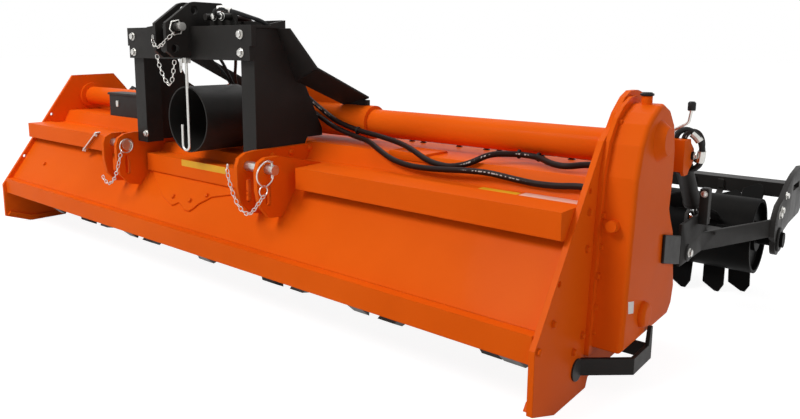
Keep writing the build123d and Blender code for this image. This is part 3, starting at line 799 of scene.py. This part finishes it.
CONTROL_LINES = {
    "left": [(-250, -42, 1090), (-250, -38, 1030), (-195, 60, 938), (-150, 118, 850), (-138, 132, 796)],
    "middle": [(-116, -42, 1090), (-116, -38, 1030), (-128, 60, 944), (-140, 118, 850), (-132, 140, 796)],
    "right": [(98, -42, 1090), (90, -38, 1040), (-21, 60, 941), (-120, 122, 850), (-126, 148, 796)]}
for place, route in CONTROL_LINES.items():
    wire("control_line_" + place, route, 0.007, "black_rubber", "frame")
wire("parked_hose", [(225, -198, 1112), (226, -232, 1116), (262, -240, 1142), (310, -200, 1128),
                     (352, -160, 1108), (388, -126, 1092), (392, -112, 1079)], 0.008, "black_rubber", "frame")
wire("hook_leg", [(-12, -228, 618), (-12, -228, 650), (-11, -228, 682)], 0.006, "zinc", "frame")
bolts("couplings", 0.012, [(175, -190, 1112), (225, -190, 1112)], (0, -1, 0), "zinc", "frame")
wire("parked_ferrule", [(258, -234, 1139), (280, -219, 1141), (300, -206, 1132)], 0.011, "zinc", "frame")

HOSE_TIES = (("tie_deck", (1330, 158, 653), (1, 0.1, 0)),
             ("tie_plate", (1400, 162, 650), (1, 0, 0)),
             ("tie_tube", (624, 142, 676), (1, 0, -0.1)))
for name, spot, heading in HOSE_TIES:
    ring(name, spot, heading, 0.0122, 0.0032, "black_rubber", "frame", 20, 1.5)


def stop_block(side, x):
    """The tilt stop on the cheek plate, with its bolt."""
    centre = at(x, 643, 462)
    clear()
    bpy.ops.mesh.primitive_cube_add(size=1, location=centre)
    block = bpy.context.object
    edit()
    bpy.ops.mesh.select_all(action="SELECT")
    bpy.ops.transform.resize(value=(0.030, 0.036, 0.124), center_override=centre)
    pick(block, lambda middle, normal: normal.z > 0.9)
    bpy.ops.mesh.inset(thickness=0.004)
    extrude(0, 0, 0.003)
    leave()
    bevelled(block, 0.003, 2)
    finished(block, "stop_block_" + side, "black_paint", "roller_frame")
    bolts("stop_bolt_" + side, 0.009, [(x, 625, 508)], (0, -1, 0), "zinc", "roller_frame")


for side, sign in SIDES:
    stop_block(side, sign * 1791)


def lever_knob():
    clear()
    bpy.ops.mesh.primitive_cylinder_add(vertices=24, radius=0.0125, depth=0.026, location=at(1764, 500, 815))
    knob = bpy.context.object
    edit()
    pick(knob, lambda middle, normal: normal.z > 0.9)
    bpy.ops.mesh.inset(thickness=0.003)
    extrude(0, 0, 0.003)
    leave()
    bevelled(knob, 0.002, 2)
    finished(knob, "lever_knob", "black_rubber", "frame")


lever_knob()


# The arm's front end beside the case, in y and z, from its inner face outwards
ARM_NOSE = [(292, 338), (293, 430), (406, 404), (454, 394), (560, 384), (720, 340), (720, 290), (480, 290)]
NOSE_INNER, NOSE_OUTER = 1767, 1775
for side, sign in SIDES:
    plate("arm_nose_" + side, ARM_NOSE, (NOSE_OUTER - NOSE_INNER) / 1000,
          facing(at(NOSE_INNER if sign > 0 else -NOSE_OUTER, 0, 0), (0, 1, 0), (0, 0, 1)),
          "black_paint", "roller_frame", 0.0015)


# Hitch pins: rings, the bowed clip and their chains
ring("top_ring", (57, -283, 1070), (1, 0, 0), 0.030, 0.0028, "zinc", "frame", 6)
chain("top_chain", [(58, -300, 1046), (51, -330, 1018), (1, -331, 990), (-41, -330, 1011), (-40, -326, 1038)],
      "frame")
chain("spare_chain", [(-37, -313, 957), (-27, -311, 906), (24, -301, 832), (36, -291, 889), (42, -286, 952)],
      "frame")
wire("spring_clip", [(8, -241, 950), (8, -241, 905), (14, -241, 893), (20, -241, 905), (20, -241, 950)],
     0.0025, "zinc", "frame")
ring("left_ring", (-394, -268, 560), (1, 0, 0), 0.030, 0.0028, "zinc", "frame", 24)
chain("left_chain", [(-394, -294, 538), (-392, -312, 476), (-435, -312, 405), (-502, -312, 375),
                     (-546, -308, 414)], "frame")
wire("linchpin_leg", [(572, -255, 596), (572, -255, 535)], 0.005, "zinc", "frame")
wire("linchpin_bow", [(574, -250, 594), (580, -290, 604), (580, -330, 572), (580, -330, 534),
                      (580, -296, 505), (578, -262, 524), (574, -250, 540)], 0.003, "zinc", "frame", True)
ring("right_ring", (580, -302, 496), (1, 0, 0), 0.018, 0.0026, "zinc", "frame", 20)
chain("right_chain", [(582, -306, 476), (554, -312, 440), (508, -312, 396), (451, -312, 418),
                      (407, -312, 485), (387, -312, 550), (384, -306, 572)], "frame")


# Hoses and their ferrules at each cylinder's bracket
for side, sign in SIDES:
    wire("cylinder_hose_" + side, [(sign * x, y, z) for x, y, z in (
        (1714, 522, 706), (1716, 528, 724), (1742, 544, 738), (1776, 556, 716), (1792, 562, 672),
        (1786, 570, 620), (1762, 590, 596), (1748, 600, 594))], 0.010, "black_rubber", "frame")
    wire("upper_ferrule_" + side, [(sign * x, y, z) for x, y, z in (
        (1757, 550, 722), (1770, 554, 712), (1781, 558, 696))], 0.0135, "zinc", "frame")
    wire("lower_ferrule_" + side, [(sign * x, y, z) for x, y, z in (
        (1789, 563, 664), (1788, 566, 645), (1783, 571, 626))], 0.0135, "zinc", "frame")
    wire("return_hose_" + side, [(sign * x, y, z) for x, y, z in (
        (1742, 520, 706), (1744, 530, 726), (1766, 574, 730), (1782, 596, 694), (1776, 606, 650),
        (1756, 606, 620))], 0.009, "hose_rubber", "frame")


# Studio: pale floor, soft lamps, and the camera where the photograph was taken

def background_rays(tree):
    """One for the rays that show the background: the camera's, mirrored and passed ones."""
    path = tree.nodes.new("ShaderNodeLightPath")
    rays = path.outputs["Is Camera Ray"]
    for kind in ("Is Glossy Ray", "Is Transmission Ray"):
        either = tree.nodes.new("ShaderNodeMath")
        either.operation = "MAXIMUM"
        tree.links.new(rays, either.inputs[0])
        tree.links.new(path.outputs[kind], either.inputs[1])
        rays = either.outputs[0]
    return rays


def floor_finish():
    material = bpy.data.materials.new("floor")
    material.use_nodes = True
    tree = material.node_tree
    tree.nodes.clear()
    plain = tree.nodes.new("ShaderNodeBsdfDiffuse")
    plain.inputs["Color"].default_value = (0.62, 0.62, 0.62, 1)
    shaded = tree.nodes.new("ShaderNodeBsdfDiffuse")
    shaded.inputs["Color"].default_value = (0.30, 0.30, 0.30, 1)
    glow = tree.nodes.new("ShaderNodeEmission")
    glow.inputs["Strength"].default_value = 0.905
    pale = tree.nodes.new("ShaderNodeAddShader")
    tree.links.new(shaded.outputs[0], pale.inputs[0])
    tree.links.new(glow.outputs[0], pale.inputs[1])
    both = tree.nodes.new("ShaderNodeMixShader")
    tree.links.new(background_rays(tree), both.inputs[0])
    tree.links.new(plain.outputs[0], both.inputs[1])
    tree.links.new(pale.outputs[0], both.inputs[2])
    out = tree.nodes.new("ShaderNodeOutputMaterial")
    tree.links.new(both.outputs[0], out.inputs["Surface"])
    return material


def floor():
    bpy.ops.mesh.primitive_circle_add(vertices=96, radius=60, fill_type="NGON", location=(0, 0, -0.001))
    ground = bpy.context.object
    ground.name = "floor"
    ground.data.materials.append(floor_finish())


def sky():
    world = bpy.data.worlds.new("studio")
    bpy.context.scene.world = world
    world.use_nodes = True
    tree = world.node_tree
    tree.nodes.clear()
    level = tree.nodes.new("ShaderNodeMapRange")
    level.inputs["To Min"].default_value = 0.34
    level.inputs["To Max"].default_value = 1.0
    tree.links.new(background_rays(tree), level.inputs["Value"])
    back = tree.nodes.new("ShaderNodeBackground")
    back.inputs["Color"].default_value = (1, 1, 1, 1)
    tree.links.new(level.outputs["Result"], back.inputs["Strength"])
    out = tree.nodes.new("ShaderNodeOutputWorld")
    tree.links.new(back.outputs[0], out.inputs["Surface"])


def lamp(name, place, aim, size, power):
    bpy.ops.object.light_add(type="AREA", location=place)
    light = bpy.context.object
    light.name = name
    light.data.shape = "DISK"
    light.data.size = size
    light.data.energy = power
    light.rotation_euler = (Vector(aim) - Vector(place)).to_track_quat("-Z", "Y").to_euler()


# The photograph's optical centre lies off its middle, because it is cropped
PHOTO_PX = (800, 419)
SENSOR_MM = 36
FOCUS_PX = 682.78
CENTRE_PX = (391.5, 158.56)
CAMERA_PLACE = at(2427.8, -1827.1, 995.2)
CAMERA_TURN = (0.692, -0.16, -0.006)


def camera():
    bpy.ops.object.camera_add()
    eye = bpy.context.object
    turn, tilt, roll = CAMERA_TURN
    heading = (Matrix.Rotation(turn, 4, "Z") @ Matrix.Rotation(tilt, 4, "X")
               @ Matrix.Rotation(roll, 4, "Y") @ Matrix.Rotation(math.pi / 2, 4, "X"))
    width, height = PHOTO_PX
    eye.location = CAMERA_PLACE
    eye.rotation_euler = heading.to_euler()
    eye.data.sensor_width = SENSOR_MM
    eye.data.lens = FOCUS_PX * SENSOR_MM / width
    eye.data.shift_x = (width / 2 - CENTRE_PX[0]) / width
    eye.data.shift_y = (CENTRE_PX[1] - height / 2) / width
    eye.data.clip_end = 200
    bpy.context.scene.camera = eye


# Each lamp's place and aim in metres, then its width in metres and its power in watts
LAMPS = (("key", (-1.5, -6.0, 6.5), (0, 0, 0.4), 3.5, 390),
         ("side", (7.5, -1.5, 3.0), (0.5, 0, 0.4), 3.0, 36),
         ("top", (-1.0, 1.5, 6.5), (0, 0, 0.5), 5.0, 150))

floor()
sky()
for settings in LAMPS:
    lamp(*settings)
camera()

bpy.context.scene.view_settings.view_transform = "Standard"
